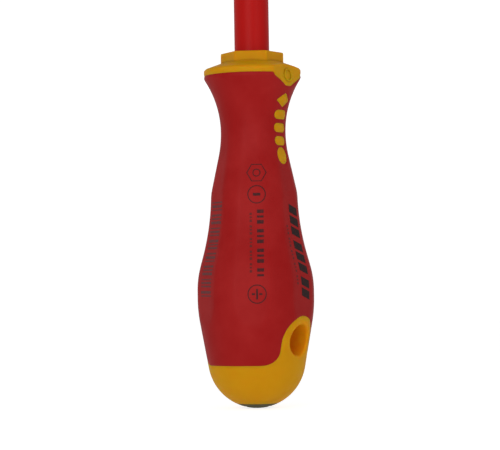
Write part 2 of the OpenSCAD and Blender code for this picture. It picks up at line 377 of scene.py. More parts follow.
def inside(points, loop):
    """True for each point that lies in the closed loop."""
    x, y = points[:, 0][:, None], points[:, 1][:, None]
    ax, ay = loop[:, 0][None], loop[:, 1][None]
    bx, by = np.roll(loop[:, 0], -1)[None], np.roll(loop[:, 1], -1)[None]
    crosses = (ay > y) != (by > y)
    safe = np.where(by == ay, 1.0, by - ay)
    return (crosses & (x < ax + (y - ay) * (bx - ax) / safe)).sum(axis=1) % 2 == 1


class MapPoints:
    """Points and fixed edges of the flat map, with a running test of how close points are."""

    def __init__(self):
        self.points, self.edges = [], []

    def add_line(self, line, closed=False):
        first = len(self.points)
        self.points += [tuple(p) for p in line]
        n = len(line)
        self.edges += [(first + i, first + i + 1) for i in range(n - 1)]
        if closed:
            self.edges.append((first + n - 1, first))

    def add_loose(self, points, least):
        """Adds the points that keep their distance from those that are already there."""
        tree = kdtree.KDTree(len(self.points))
        for i, (u, v) in enumerate(self.points):
            tree.insert((u, v, 0), i)
        tree.balance()
        for u, v in points:
            if tree.find((u, v, 0))[2] >= least:
                self.points.append((u, v))


def beside(line, offset, closed):
    """The line moved sideways by a true distance, whatever the handle's radius there."""
    after = np.roll(line, -1, axis=0)
    before = np.roll(line, 1, axis=0)
    if not closed:
        after[-1], before[0] = line[-1], line[0]
    stretch = ridge_r(line[:, 1]) / MAP_R
    run = (after - before) * np.stack([stretch, np.ones(len(line))], axis=1)
    run /= np.maximum(np.linalg.norm(run, axis=1), 1e-9)[:, None]
    side = np.stack([-run[:, 1] / stretch, run[:, 0]], axis=1)
    return line + side * offset


def crease_points():
    """Rows of points along both edges of every flat."""
    out = []
    for z in np.arange(FLAT_LOW_Z + 1, FLAT_TOP_Z - 0.2, CREASE_STEP):
        ratio = float(flat_distance(z) / ridge_r(z))
        if ratio >= 0.9999:
            continue
        half = math.acos(ratio)
        for k in range(-1, 5):
            for edge in (-1, 1):
                for shift in (-CREASE_SHIFT, 0, CREASE_SHIFT):
                    theta = k * PI / 3 + edge * (half + shift / MAP_R)
                    if SEAM + 0.02 < theta < SEAM + TURN - 0.02:
                        out.append((theta * MAP_R, z))
    return out


def grid_points():
    """A grid of equal triangles that fills the map inside its border."""
    rows = np.arange(MAP_LOW_Z + CELL, MAP_TOP_Z - CLEAR, CELL * 0.87)
    count = int((MAP_RIGHT - MAP_LEFT) / CELL)
    return [(MAP_LEFT + (i + 0.5 * (j % 2)) * CELL, v) for j, v in enumerate(rows)
            for i in range(1, count + 1) if MAP_LEFT + (i + 0.5) * CELL < MAP_RIGHT - CLEAR]


def map_border():
    """The closed edge of the map, with the skin's two levels among its side points."""
    across = np.linspace(MAP_LEFT, MAP_RIGHT, COLUMNS + 1)
    rows = [v for v in np.arange(MAP_LOW_Z, MAP_TOP_Z, CELL)[1:]
            if min(abs(v - SKIN_TOP_Z), abs(v - SKIN_LOW_Z), MAP_TOP_Z - v) > CLEAR]
    rows = sorted(rows + [SKIN_TOP_Z, SKIN_LOW_Z])
    return ([(u, MAP_LOW_Z) for u in across] + [(MAP_RIGHT, v) for v in rows]
            + [(u, MAP_TOP_Z) for u in across[::-1]] + [(MAP_LEFT, v) for v in rows[::-1]])


def add_lips(chart, line, closed):
    """Rows of points beside a line, which carry the rounded edges there."""
    inner = line if closed else line[1:-1]
    for offset in LIP_OFFSETS:
        for side in (-1, 1):
            loose = beside(inner, side * offset, closed)
            on_map = (loose[:, 0] > MAP_LEFT + 0.1) & (loose[:, 0] < MAP_RIGHT - 0.1)
            chart.add_loose(loose[on_map], offset * 0.8)


# What a triangle of the map belongs to; a mouth of the hanging hole is left open.
SKIN_AREA, BODY_AREA, MOUTH_AREA = 0, 1, 2
FAR = 1e3


def areas(centre, top, low, marks, mouths):
    """The area of each triangle, from its centre."""
    area = np.full(len(centre), SKIN_AREA)
    above = np.concatenate([top, [[MAP_RIGHT, FAR], [MAP_LEFT, FAR]]])
    below = np.concatenate([low, [[MAP_RIGHT, -FAR], [MAP_LEFT, -FAR]]])
    for loop in marks + [above, below]:
        area[inside(centre, loop)] = BODY_AREA
    for loop in mouths:
        area[inside(centre, loop)] = MOUTH_AREA
    return area


def handle_map():
    """Points, triangles and areas of the flat map, and the lines where skin and body meet."""
    top = full_turn(shield_path(), SKIN_TOP_Z)
    low = full_turn(eyelet_path(), SKIN_LOW_Z)
    marks = [thin_out(resample(to_map(m, side), MARK_STEP, True), MARK_LEAST)
             for side in SIDES for m in neck_marks()]
    mouths = [to_map(hole_outline(HOLE_FILLET)[0], side) for side in SIDES]
    chart = MapPoints()
    chart.add_line(map_border(), closed=True)
    for line in (top, low):
        chart.add_line(line)
    for loop in marks + mouths:
        chart.add_line(loop, closed=True)
    for line in (top, low):
        add_lips(chart, line, False)
    for loop in marks:
        add_lips(chart, loop, True)
    chart.add_loose(crease_points(), 0.2)
    chart.add_loose(grid_points(), CELL * 0.45)

    verts = [Vector(p) for p in chart.points]
    verts, _, faces, _, _, _ = delaunay_2d_cdt(verts, chart.edges, [], 0, 1e-5)
    uv, tris = np.array([tuple(v) for v in verts]), np.array(faces)
    area = areas(uv[tris].mean(axis=1), top, low, marks, mouths)
    return uv, tris, area, [top, low] + marks


GROOVE_DEEP, GROOVE_HALF, GROOVE_STEP = 0.16, 0.34, 0.12


def groove(points, borders):
    """How far the rounded edges of skin and body sink the surface near their border."""
    samples = []
    for line in borders:
        dense = resample(line, GROOVE_STEP, False)
        samples.append(place(dense[:, 0] / MAP_R, dense[:, 1]))
    samples = np.concatenate(samples)
    tree = kdtree.KDTree(len(samples))
    for i, p in enumerate(samples):
        tree.insert(p, i)
    tree.balance()
    near = np.array([tree.find(p)[2] for p in points])
    fall = np.clip(1 - (near / GROOVE_HALF) ** 2, 0, 1)
    return GROOVE_DEEP * fall ** 1.5


# ---------------------------------------------------------------- mesh helpers


WELD, SLIVER = 2e-6, 1e-7


def new_piece(name, verts, faces, node=None, sharp=35):
    """A mesh piece from points in millimetres, welded, with its normals facing out.

    It replaces a CAD node if one is named, and its edges above the angle sharp stay sharp."""
    mesh = bpy.data.meshes.new(name)
    mesh.from_pydata([tuple(c * MM for c in p) for p in verts], [], faces)
    bm = bmesh.new()
    bm.from_mesh(mesh)
    bmesh.ops.remove_doubles(bm, verts=bm.verts, dist=WELD)
    bmesh.ops.dissolve_degenerate(bm, edges=bm.edges, dist=SLIVER)
    loose = [v for v in bm.verts if not v.link_faces]
    bmesh.ops.delete(bm, geom=loose, context="VERTS")
    bmesh.ops.recalc_face_normals(bm, faces=bm.faces)
    bm.to_mesh(mesh)
    bm.free()
    mesh.shade_smooth()
    mesh.set_sharp_from_angle(angle=math.radians(sharp))
    piece = bpy.data.objects.new(name, mesh)
    bpy.context.scene.collection.objects.link(piece)
    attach(piece, "root")
    if node:
        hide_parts(node)
    return piece


class Patchwork:
    """Collects points and faces of one piece from several patches."""

    def __init__(self):
        self.verts, self.faces = [], []

    def add(self, points, faces):
        first = len(self.verts)
        self.verts += [tuple(p) for p in points]
        self.faces += [tuple(int(i) + first for i in f) for f in faces]

    def add_rings(self, rings, cap_start=False, cap_end=False):
        """Closed rings of equal length, joined one after the other."""
        n = len(rings[0])
        faces = []
        for j in range(len(rings) - 1):
            for i in range(n):
                k = (i + 1) % n
                faces.append((j * n + i, j * n + k, (j + 1) * n + k, (j + 1) * n + i))
        points = np.concatenate(rings)
        if cap_start:
            faces.append(tuple(range(n - 1, -1, -1)))
        if cap_end:
            faces.append(tuple((len(rings) - 1) * n + i for i in range(n)))
        self.add(points, faces)


def directed_edges(tris):
    """Each directed edge of the triangles, with the triangle that it belongs to."""
    found = {}
    for t, (a, b, c) in enumerate(tris):
        found[(a, b)] = found[(b, c)] = found[(c, a)] = t
    return found


def weld_seam(uv, tris):
    """Triangles whose corners on the right edge of the map use the left edge's points."""
    left = {round(v, 5): i for i, (u, v) in enumerate(uv) if abs(u - MAP_LEFT) < 1e-4}
    swap = np.arange(len(uv))
    for i, (u, v) in enumerate(uv):
        if abs(u - MAP_RIGHT) < 1e-4:
            swap[i] = left[round(v, 5)]
    return swap[tris]


# ---------------------------------------------------------------- pieces


def grip_mesh(outer, inner, tris, area):
    """The soft skin: its outside, its inside and the walls along its edges."""
    soft = tris[area == SKIN_AREA]
    n = len(outer)
    faces = [tuple(t) for t in soft] + [(a + n, c + n, b + n) for a, b, c in soft]
    edges = directed_edges(soft)
    faces += [(b, a, a + n, b + n) for a, b in edges if (b, a) not in edges]
    part = Patchwork()
    part.add(np.concatenate([outer, inner]), faces)
    return new_piece("grip_soft_skin", part.verts, part.faces, "soft_grip")


def hole_tunnel(part):
    """The hanging hole: a rounded mouth on each side and straight walls between them."""
    rim, normal = hole_outline()
    ends = []
    for side in SIDES:
        flip = 1 if side == 0 else -1
        rings = []
        for a in np.linspace(0, PI / 2, 9):
            spot = rim + normal * HOLE_FILLET * (1 - math.sin(a))
            at = to_map(spot, side)
            depth = -place(at[:, 0] / MAP_R, at[:, 1])[:, 1] * flip
            depth -= HOLE_FILLET * (1 - math.cos(a))
            rings.append(np.stack([spot[:, 0] * flip, -depth * flip, spot[:, 1]], axis=1))
        part.add_rings(rings)
        ends.append(rings[-1])
    mirrored = ends[1][(HOLE_N // 2 - np.arange(HOLE_N)) % HOLE_N]
    part.add_rings([ends[0] + (mirrored - ends[0]) * t for t in np.linspace(0, 1, 13)])


def ring_at(theta, z, r):
    """A level ring at one height, with one radius or an array of them."""
    return place(theta, np.full(len(theta), z), r)


HEX_EDGE = 0.45
COARSE, FINE = 0.3, 0.07
BORE_GAP, BORE_LIP, BORE_DEPTH = 0.06, 0.25, 14.0
# The bore widens to the sleeve's thicker root between these depths.
BORE_STEP = (1.0, 1.2)


def collar_rings(theta):
    """Rings from the map's top edge over the flange and hexagon and down the bore."""
    top, hex_z = HANDLE_L, HANDLE_L - HEX_H + 1.4
    z = np.concatenate([np.arange(MAP_TOP_Z, RIM_TOP_Z - 0.3, COARSE),
                        np.arange(RIM_TOP_Z - 0.3, hex_z, FINE),
                        np.arange(hex_z, top - 0.5, COARSE)])
    rings = [place(theta, np.full(COLUMNS, h)) for h in z]
    side = hexagon_r(theta)
    for a in np.linspace(0, PI / 2, 7):
        r = side - HEX_EDGE * (1 - math.cos(a))
        rings.append(ring_at(theta, top - HEX_EDGE + HEX_EDGE * math.sin(a), r))
    bore, root = SLEEVE_R + BORE_GAP, SLEEVE_ROOT_R + BORE_GAP
    lip = bore + BORE_LIP
    for t in np.linspace(0.12, 1, 8):
        rings.append(ring_at(theta, top, side - HEX_EDGE + (lip - side + HEX_EDGE) * t))
    for a in np.linspace(0.3, PI / 2, 4):
        z = top - BORE_LIP * (1 - math.cos(a))
        rings.append(ring_at(theta, z, lip - BORE_LIP * math.sin(a)))
    for depth, r in zip((*BORE_STEP, BORE_DEPTH), (bore, root, root)):
        rings.append(ring_at(theta, top - depth, r))
    return rings


# The plug's recess: gap round the plug, rounded edge, and height of its floor.
PLUG_GAP, RECESS_EDGE, RECESS_TOP_Z = 0.07, 0.18, 3.05


def butt_rings(theta):
    """Rings from the map's low edge down the butt and into the plug's recess."""
    plug_r = PLUG_HIGH[0] + PLUG_GAP
    recess_z = BUTT_R - math.sqrt(BUTT_R ** 2 - plug_r ** 2)
    start = math.acos(1 - MAP_LOW_Z / BUTT_R)
    end = math.asin((plug_r + RECESS_EDGE) / BUTT_R)
    rings = [place(theta, np.full(COLUMNS, MAP_LOW_Z))]
    for a in np.linspace(start, end, 26)[1:]:
        rings.append(ring_at(theta, BUTT_R * (1 - math.cos(a)), BUTT_R * math.sin(a)))
    rings.append(ring_at(theta, recess_z + 0.05, plug_r + 0.05))
    rings.append(ring_at(theta, recess_z + 0.2, plug_r))
    rings.append(ring_at(theta, RECESS_TOP_Z, plug_r))
    return rings


def body_mesh(outer, under, tris, area):
    """The hard body: it shows where the skin leaves it bare and runs on under the skin."""
    part = Patchwork()
    n = len(outer)
    bare, covered = tris[area == BODY_AREA], tris[area == SKIN_AREA]
    faces = [tuple(t) for t in bare] + [tuple(i + n for i in t) for t in covered]
    bare_edges, covered_edges = directed_edges(bare), directed_edges(covered)
    faces += [(b, a, a + n, b + n) for a, b in bare_edges if (b, a) in covered_edges]
    part.add(np.concatenate([outer, under]), faces)
    theta = SEAM + np.arange(COLUMNS) * TURN / COLUMNS
    part.add_rings(collar_rings(theta), cap_end=True)
    part.add_rings(butt_rings(theta), cap_end=True)
    hole_tunnel(part)
    return new_piece("handle_hard_body", part.verts, part.faces, "hard_body")


RING_R, RING_WIRE, RING_H, RING_DROP = 1.95, 0.3, 0.4, 0.5
# The ring's foot is sunk this far into the facet.
RING_SUNK = 0.03


def shield_ring(side, name):
    """Low raised ring on a shield facet, a little below its middle."""
    flip = 1 if side == 0 else -1
    cos_tilt, sin_tilt = math.cos(SHIELD_TILT), math.sin(SHIELD_TILT)
    b = np.arange(64) * TURN / 64
    rings = []
    for a in np.linspace(0, PI, 10):
        radius = RING_R + RING_WIRE * math.cos(a)
        out = RING_H * abs(math.sin(a)) ** 0.7 - RING_SUNK
        x, up = radius * np.cos(b), radius * np.sin(b) - RING_DROP
        y = -SHIELD_R - out * cos_tilt + up * sin_tilt
        z = SHIELD_Z + up * cos_tilt + out * sin_tilt
        rings.append(np.stack([x * flip, y * flip, z], axis=-1))
    rings.append(rings[0])
    part = Patchwork()
    part.add_rings(rings)
    return new_piece(name, part.verts, part.faces, None)


SLEEVE_GAP, SLEEVE_LIP, SLEEVE_BEVEL = 0.03, 0.7, 0.4
SLEEVE_STEP_Z = HANDLE_L - 1.5


def sleeve_mesh():
    """The insulation tube, with its rounded front end and its thicker hidden root."""
    theta = np.arange(96) * TURN / 96
    r, root, inner = SLEEVE_R, SLEEVE_ROOT_R, BLADE_R + SLEEVE_GAP
    top, low, lip = SLEEVE_HIGH[2], SLEEVE_LOW[2], SLEEVE_LIP
    profile = [(inner, low), (root - SLEEVE_BEVEL, low), (root, low + SLEEVE_BEVEL),
               (root, SLEEVE_STEP_Z), (r, SLEEVE_STEP_Z)]
    profile += [(r, z) for z in np.linspace(SLEEVE_STEP_Z + 1, top - lip, 60)]
    profile += [(r - lip * (1 - math.cos(a)), top - lip + lip * math.sin(a))
                for a in np.linspace(0.15, PI / 2, 9)]
    profile += [(inner + 0.2, top), (inner + 0.06, top - 0.06), (inner, top - 0.2)]
    rings = [ring_at(theta, z, radius) for radius, z in profile]
    rings.append(rings[0])
    part = Patchwork()
    part.add_rings(rings)
    return new_piece("blade_insulation_sleeve", part.verts, part.faces, "blade_sleeve")


MARK_RING_R, MARK_LINE, MARK_DEEP, MARK_SLOPE = 4.4, 0.7, 0.35, 0.16
MARK_CROSS = MARK_RING_R - 1.5 * MARK_LINE
PLUG_EDGE, PLUG_ROLL = 0.25, 0.18
# Inside the butt: heights of the plug's disc, then radius and height along its stem, which
# has a snap bead.
PLUG_DISC_Z = (1.5, 3.0)
PLUG_STEM = ((2.8, 3.0), (2.8, 7.5), (3.4, 7.5), (3.4, 8.5), (2.8, 9.0), (2.8, 11.0))


def plug_mesh():
    """The round plug in the butt, with a ring and a cross sunk in its face."""
    half = MARK_LINE / 2
    theta = np.arange(180) * TURN / 180
    face_r = PLUG_HIGH[0]
    radii = np.concatenate([np.linspace(0.1, face_r - PLUG_EDGE, 56),
                            [face_r - 0.12, face_r - 0.03]])
    rings = []
    for r in radii:
        x, y = r * np.sin(theta), r * np.cos(theta)
        cross = np.minimum(np.maximum(np.abs(x) - half, np.abs(y) - MARK_CROSS),
                           np.maximum(np.abs(y) - half, np.abs(x) - MARK_CROSS))
        ring = np.abs(r - MARK_RING_R + half) - half
        dig = MARK_DEEP * np.clip(0.5 - np.minimum(cross, ring) / MARK_SLOPE, 0, 1)
        base = BUTT_R - math.sqrt(BUTT_R ** 2 - r ** 2)
        roll = max(0, (r - face_r + PLUG_EDGE) / PLUG_EDGE) ** 2 * PLUG_ROLL
        rings.append(place(theta, base + roll + dig, r))
    rings += [ring_at(theta, z, face_r) for z in PLUG_DISC_Z]
    rings += [ring_at(theta, z, r) for r, z in PLUG_STEM]
    part = Patchwork()
    part.add_rings(rings, cap_start=True, cap_end=True)
    return new_piece("butt_end_plug", part.verts, part.faces, "butt_plug")


# ---------------------------------------------------------------- printed marks

INK_LIFT, INK_T = 0.012, 0.02
# The flats that carry print face these angles.
CENTRE_FLAT, LEFT_FLAT, RIGHT_FLAT = -PI / 3, -2 * PI / 3, 0.0


def ink(name, shapes, flat, material):
    """Thin printed shapes, drawn in x, z in front of the flat that faces theta = flat."""
    part = Patchwork()
    for shape in shapes:
        add_print(part, shape, flat)
    paint(new_piece(name, part.verts, part.faces, None, sharp=60), material)


def add_print(part, shape, flat):
    """Adds one printed shape, given as rows of x, z points, as a thin plate on the flat."""
    rows, cols = shape.shape[:2]
    at = to_map(shape.reshape(-1, 2), flat)
    theta, z = at[:, 0] / MAP_R, at[:, 1]
    r = surface_r(theta, z)
    upper, lower = place(theta, z, r + INK_LIFT + INK_T), place(theta, z, r + INK_LIFT)
    n = rows * cols
    faces = []
    for j in range(rows - 1):
        for i in range(cols - 1):
            a, b = j * cols + i, j * cols + i + 1
            faces += [(a, b, b + cols, a + cols), (a + n, a + cols + n, b + cols + n, b + n)]
    closed = np.allclose(shape[0], shape[-1])
    if closed:
        rims = [[j * cols + i for j in range(rows)] for i in (0, cols - 1)]
    else:
        rims = [list(range(cols)) + [j * cols + cols - 1 for j in range(1, rows)]
                + [(rows - 1) * cols + i for i in range(cols - 2, -1, -1)]
                + [j * cols for j in range(rows - 2, -1, -1)]]
    for rim in rims:
        faces += [(a, a + n, b + n, b) for a, b in zip(rim, rim[1:])]
    part.add(np.concatenate([upper, lower]), faces)


def block(x, z, w, h, lean=0.0):
    """A printed bar centred at x, z; w across, h up; lean is its right end's lift."""
    n = max(2, int(math.ceil(h / 0.8)) + 1)
    return np.array([[(x + w * t, z + h * up + lean * t) for t in (-0.5, 0, 0.5)]
                     for up in np.linspace(-0.5, 0.5, n)])


def band(x, z, r, w, corners=0):
    """A printed line of width w along a circle, or along a regular outline with corners."""
    rows = []
    for a in np.linspace(0, TURN, 49):
        reach = math.cos(PI / corners) / math.cos(wrap(a, TURN / corners)) if corners else 1.0
        across, up = reach * math.sin(a), reach * math.cos(a)
        rows.append([(x + k * across, z + k * up) for k in (r - w, r)])
    return np.array(rows)


def row_of_blocks(x, z_high, z_low, w, lengths, gap, lean=0.0):
    """Bars one below the other, taking their lengths in turn, until z_low is reached."""
    out, z, i = [], z_high, 0
    while z - lengths[i % len(lengths)] > z_low:
        h = lengths[i % len(lengths)]
        out.append(block(x, z - h / 2, w, h, lean))
        z -= h + gap * (2.2 if i % 3 == 2 else 1)
        i += 1
    return out


def centre_symbols():
    """A plain hexagon, circles and crossed bars, each as the shapes that it is made of."""
    upper_x, lower_x, line = 1.5, 1.4, 0.32
    hexagon, slot, cross = HANDLE_L - 40.3, HANDLE_L - 47.4, HANDLE_L - 79.8
    shapes = [band(upper_x, hexagon, 3.3, 0.3, 6), band(upper_x, hexagon, 1.3, 0.3)]
    shapes += [band(upper_x, slot, 3.0, line), block(upper_x, slot, 2.4, 0.9)]
    shapes += [band(lower_x, cross, 3.1, line), block(lower_x, cross, 0.6, 3.4)]
    return shapes + [block(lower_x + side * 1.2, cross, 1.0, 0.6) for side in (-1, 1)]


# Rows of bars: piece, flat, ink, x, top and foot below the collar, width, lengths, gap, lean.
DASHES = (0.7, 0.5, 0.8)
PRINT_ROWS = (
    ("print_centre_blocks", CENTRE_FLAT, "dark", 2.6, 52.4, 74.8, 2.2, (1.1, 0.7, 1.2), 0.8, 0),
    ("print_centre_dashes", CENTRE_FLAT, "faint", -0.5, 53.4, 73.2, 0.75, DASHES, 0.5, 0),
    ("print_left_ticks", LEFT_FLAT, "grey", 0.2, 49.4, 81.0, 7.2, (0.5, 0.9, 0.4, 0.7), 0.55, 0),
    ("print_right_bars", RIGHT_FLAT, "black", 1.6, 51.2, 82.0, 4.6, (2.7,), 0.9, -1.5),
    ("print_right_dashes", RIGHT_FLAT, "faint", -2.9, 57.5, 78.5, 0.8, DASHES, 0.5, 0),
)


def build_prints():
    """Plain geometric marks where such tools carry print; none of them is a letter."""
    inks = {"dark": ink_material("ink_dark", (0.042, 0.009, 0.010), 0.25),
            "faint": ink_material("ink_faint", (0.105, 0.013, 0.012), 0.35),
            "black": ink_material("ink_black", (0.012, 0.006, 0.006), 0.1),
            "grey": ink_material("ink_grey", (0.085, 0.030, 0.032), 0.65)}
    ink("print_centre_symbols", centre_symbols(), CENTRE_FLAT, inks["dark"])
    for name, flat, colour, x, top, foot, w, lengths, gap, lean in PRINT_ROWS:
        bars = row_of_blocks(x, HANDLE_L - top, HANDLE_L - foot, w, lengths, gap, lean)
        ink(name, bars, flat, inks[colour])


# ---------------------------------------------------------------- materials

# Where a noise counts as low and as high: for wide patches of colour, and for fine grain.
PATCHY, GRAINY = (0.35, 0.7), (0.3, 0.7)
# How far the painted shade reaches out of corners, and how far red, green and blue light go in
# plastic.
PAINTED_SHADE_REACH, SCATTER = 1.1, (4.0, 1.0, 0.1)


def base_material(name, colour, roughness, **values):
    """A Principled material, with its nodes, links and shader for adding detail to it.

    Further values name the shader's inputs, with _ for a space."""
    mat = bpy.data.materials.new(name)
    mat.use_nodes = True
    nodes, links = mat.node_tree.nodes, mat.node_tree.links
    shader = nodes["Principled BSDF"]
    shader.inputs["Base Color"].default_value = (*colour, 1)
    shader.inputs["Roughness"].default_value = roughness
    for key, value in values.items():
        shader.inputs[key.replace("_", " ")].default_value = value
    return mat, nodes, links, shader


def noise(nodes, links, scale, detail=3.0, rough=0.55, stretch=(1, 1, 1)):
    """Noise in the piece's own millimetres."""
    coords = nodes.new("ShaderNodeTexCoord")
    mapping = nodes.new("ShaderNodeMapping")
    mapping.inputs["Scale"].default_value = [s / MM for s in stretch]
    texture = nodes.new("ShaderNodeTexNoise")
    texture.inputs["Scale"].default_value = scale
    texture.inputs["Detail"].default_value = detail
    texture.inputs["Roughness"].default_value = rough
    links.new(coords.outputs["Object"], mapping.inputs["Vector"])
    links.new(mapping.outputs["Vector"], texture.inputs["Vector"])
    return texture.outputs["Fac"]


def remap(nodes, links, value, low, high, to_low, to_high):
    node = nodes.new("ShaderNodeMapRange")
    for key, v in (("From Min", low), ("From Max", high), ("To Min", to_low), ("To Max", to_high)):
        node.inputs[key].default_value = v
    links.new(value, node.inputs["Value"])
    return node.outputs["Result"]


def mix_colour(nodes, links, factor, a, b):
    node = nodes.new("ShaderNodeMix")
    node.data_type = "RGBA"
    links.new(factor, node.inputs["Factor"])
    for socket, value in ((node.inputs["A"], a), (node.inputs["B"], b)):
        if isinstance(value, tuple):
            socket.default_value = (*value, 1)
        else:
            links.new(value, socket)
    return node.outputs["Result"]


def add_bump(nodes, links, shader, height, distance, strength=1.0):
    node = nodes.new("ShaderNodeBump")
    node.inputs["Strength"].default_value = strength
    node.inputs["Distance"].default_value = distance * MM
    links.new(height, node.inputs["Height"])
    links.new(node.outputs["Normal"], shader.inputs["Normal"])


def soft_red():
    """Soft rubber-like skin: fine grain and a slight drift in its colour."""
    red, pale = (0.305, 0.0052, 0.0052), (0.345, 0.0110, 0.0105)
    mat, nodes, links, shader = base_material("soft_red_rubber", red, 0.5,
                                              Specular_IOR_Level=0.093)
    drift = remap(nodes, links, noise(nodes, links, 0.09), *PATCHY, 0, 1)
    links.new(mix_colour(nodes, links, drift, red, pale), shader.inputs["Base Color"])
    grain = noise(nodes, links, 5.0, 4)
    links.new(remap(nodes, links, grain, *GRAINY, 0.44, 0.6), shader.inputs["Roughness"])
    add_bump(nodes, links, shader, grain, 0.02, 0.5)
    return mat


def hard_amber():
    """Hard satin plastic with a little depth in its colour, painted shade in its corners and a
    painted glow in its hanging hole.
    """
    # The third colour is the painted shade that corners and creases darken towards.
    deep, light, painted_shade_colour = (0.570, 0.262, 0.0028), (0.600, 0.284, 0.0038), (0.26, 0.070, 0.001)
    mat, nodes, links, shader = base_material("hard_amber_plastic", deep, 0.5,
                                              Specular_IOR_Level=0.05)
    drift = remap(nodes, links, noise(nodes, links, 0.12), *PATCHY, 0, 1)
    clean = mix_colour(nodes, links, drift, deep, light)
    # Painted shade: ambient occlusion finds corners and creases, and the colour darkens towards a
    # deep amber there.
    corners = nodes.new("ShaderNodeAmbientOcclusion")
    corners.samples = 8
    corners.inputs["Distance"].default_value = PAINTED_SHADE_REACH * MM
    painted_shade_amount = remap(nodes, links, corners.outputs["AO"], 0.35, 0.95, 0.75, 0)
    links.new(mix_colour(nodes, links, painted_shade_amount, clean, painted_shade_colour), shader.inputs["Base Color"])
    grain = noise(nodes, links, 3.0, 3)
    links.new(remap(nodes, links, grain, *GRAINY, 0.46, 0.6), shader.inputs["Roughness"])
    shader.inputs["Subsurface Weight"].default_value = 0.6
    shader.inputs["Subsurface Radius"].default_value = [reach * MM for reach in SCATTER]
    shader.inputs["Subsurface Scale"].default_value = 1.0
    # Painted glow on the walls of the hanging hole.
    painted_glow_in_hole(nodes, links, shader)
    add_bump(nodes, links, shader, grain, 0.01, 0.4)
    return mat


def painted_glow_in_hole(nodes, links, shader):
    """Painted glow: warm emission on the walls of the hanging hole, standing in for light bounced
    and scattered inside it.
    """
    coords = nodes.new("ShaderNodeTexCoord")
    move = nodes.new("ShaderNodeMapping")
    move.inputs["Scale"].default_value = (1 / MM, 0, 1 / MM)
    move.inputs["Location"].default_value = (0, 0, -(HOLE_LOW[0] + HOLE_TOP[0]) / 2)
    reach = nodes.new("ShaderNodeVectorMath")
    reach.operation = "LENGTH"
    links.new(coords.outputs["Object"], move.inputs["Vector"])
    links.new(move.outputs["Vector"], reach.inputs[0])
    edge = HOLE_LOW[1] + 0.2
    # Painted glow: the emission is full inside the tunnel and fades out across its rounded mouth.
    strength = remap(nodes, links, reach.outputs["Value"], edge, edge + HOLE_FILLET, 1, 0)
    shader.inputs["Emission Color"].default_value = (0.080, 0.007, 0.0, 1)
    links.new(strength, shader.inputs["Emission Strength"])


def sleeve_red():
    """Satin insulation, drawn lengthwise."""
    red, dark = (0.425, 0.0050, 0.0040), (0.395, 0.0045, 0.0036)
    mat, nodes, links, shader = base_material("sleeve_satin_red", red, 0.42,
                                              Specular_IOR_Level=0.082)
    drift = remap(nodes, links, noise(nodes, links, 0.3, 3, 0.5, (1, 1, 0.12)), *PATCHY, 0, 1)
    links.new(mix_colour(nodes, links, drift, red, dark), shader.inputs["Base Color"])
    grain = noise(nodes, links, 4.0, 3, 0.5, (1, 1, 0.25))
    links.new(remap(nodes, links, grain, *GRAINY, 0.36, 0.5), shader.inputs["Roughness"])
    add_bump(nodes, links, shader, grain, 0.012, 0.4)
    return mat


def blade_steel():
    """Dark finished steel that shines through where its edges are worn."""
    dark, bright = (0.085, 0.085, 0.09), (0.42, 0.42, 0.43)
    mat, nodes, links, shader = base_material("blade_dark_steel", dark, 0.35, Metallic=1.0)
    geometry = nodes.new("ShaderNodeNewGeometry")
    spots = noise(nodes, links, 1.6, 4)
    worn = nodes.new("ShaderNodeMath")
    worn.operation = "ADD"
    links.new(geometry.outputs["Pointiness"], worn.inputs[0])
    links.new(remap(nodes, links, spots, *GRAINY, -0.04, 0.04), worn.inputs[1])
    wear = remap(nodes, links, worn.outputs[0], 0.52, 0.6, 0, 1)
    links.new(mix_colour(nodes, links, wear, dark, bright), shader.inputs["Base Color"])
    scratches = noise(nodes, links, 1.2, 4, 0.6, (6, 6, 0.3))
    links.new(remap(nodes, links, scratches, *GRAINY, 0.26, 0.46), shader.inputs["Roughness"])
    add_bump(nodes, links, shader, scratches, 0.01, 0.5)
    return mat


def plain_plastic(name, colour, other, roughness):
    """Moulded plastic with a fine texture."""
    mat, nodes, links, shader = base_material(name, colour, roughness, Specular_IOR_Level=0.12)
    drift = remap(nodes, links, noise(nodes, links, 0.2), *PATCHY, 0, 1)
    links.new(mix_colour(nodes, links, drift, colour, other), shader.inputs["Base Color"])
    grain = noise(nodes, links, 5.0, 4)
    links.new(remap(nodes, links, grain, *GRAINY, roughness - 0.08, roughness + 0.08),
              shader.inputs["Roughness"])
    add_bump(nodes, links, shader, grain, 0.02, 0.5)
    return mat


def ink_material(name, colour, wear):
    """Printing ink; wear is how far the skin's red shows through where it has rubbed."""
    under = (0.28, 0.006, 0.006)
    mat, nodes, links, shader = base_material(name, colour, 0.5, Specular_IOR_Level=0.12)
    rubbed = remap(nodes, links, noise(nodes, links, 1.4, 4), 0.4, 0.7, 0, wear)
    links.new(mix_colour(nodes, links, rubbed, colour, under), shader.inputs["Base Color"])
    add_bump(nodes, links, shader, noise(nodes, links, 6.0), 0.01, 0.3)
    return mat


def floor_material():
    """White floor that glows, most of all to the camera, so that it stays pale everywhere."""
    mat, nodes, links, shader = base_material("pale_floor", (0.5, 0.5, 0.5), 0.7,
                                              Specular_IOR_Level=0.0)
    soft = remap(nodes, links, noise(nodes, links, 0.004), *GRAINY, 0.49, 0.51)
    colour = nodes.new("ShaderNodeCombineColor")
    for channel in ("Red", "Green", "Blue"):
        links.new(soft, colour.inputs[channel])
    links.new(colour.outputs["Color"], shader.inputs["Base Color"])
    path = nodes.new("ShaderNodeLightPath")
    shader.inputs["Emission Color"].default_value = (1, 1, 1, 1)
    links.new(remap(nodes, links, path.outputs["Is Camera Ray"], 0, 1, FLOOR_LIGHT, FLOOR_GLOW),
              shader.inputs["Emission Strength"])
    return mat


def paint(piece, material):
    piece.data.materials.clear()
    piece.data.materials.append(material)


# ---------------------------------------------------------------- building the tool


